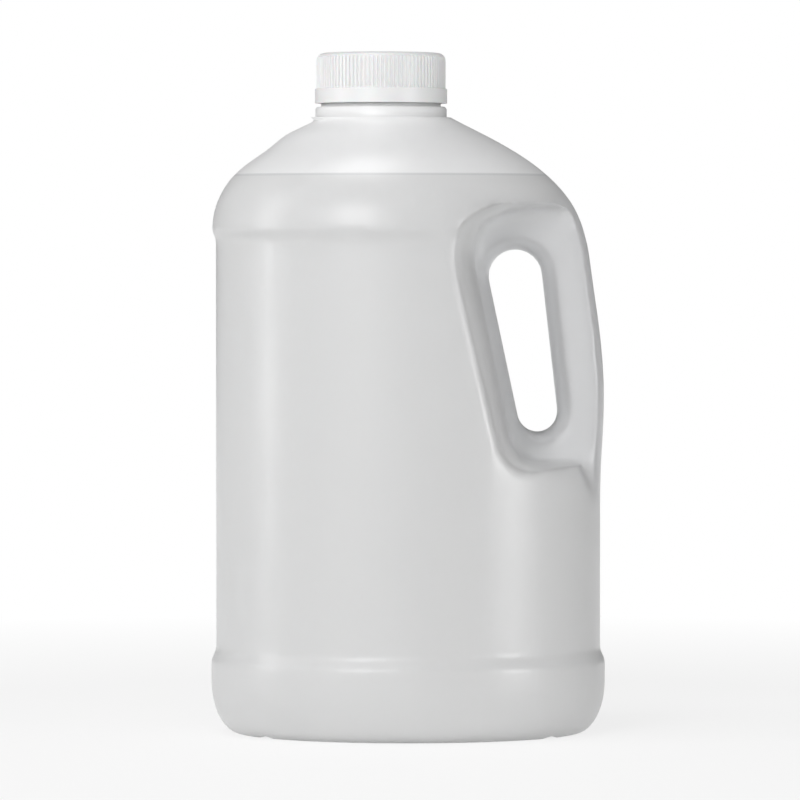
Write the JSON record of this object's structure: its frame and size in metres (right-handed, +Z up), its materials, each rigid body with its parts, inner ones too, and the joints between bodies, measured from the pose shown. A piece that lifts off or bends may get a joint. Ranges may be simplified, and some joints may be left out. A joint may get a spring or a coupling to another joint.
{
  "type": "plastic jug of paint thinner",
  "caption": "Translucent blow-moulded plastic jug with a handle through its side and a ribbed screw cap, filled with clear paint thinner.",
  "frame": {"origin": "on the floor, under the middle of the oblong foot", "axes": "+Z up, +X across the jug towards the handle, +Y towards the back"},
  "size_m": [0.1774, 0.1344, 0.3062],
  "materials": {
    "natural_plastic": "milky translucent blown polyethylene, satin",
    "clear_liquid": "clear colourless liquid",
    "white_plastic": "opaque white moulded polypropylene, satin",
    "liner_foam": "white foamed polyethylene, matt"
  },
  "bodies": {
    "jug": {"bottle": "natural_plastic", "thinner": "clear_liquid"},
    "liner": {"cap_liner": "liner_foam"},
    "cap": {"cap": "white_plastic"}
  },
  "joints": [
    {"name": "cap_rise", "type": "slide", "parent": "jug", "child": "liner", "axis": [0, 0, 1], "range_m": [0, 0.0086]},
    {"name": "cap_turn", "type": "hinge", "parent": "liner", "child": "cap", "pos_m": [-0.0122, 0, 0.295], "axis": [0, 0, 1], "range_deg": [0, 720]}
  ],
  "couplings": [
    {"joint": "cap_rise", "follows": "cap_turn", "m_per_rad": 0.0006737}
  ]
}
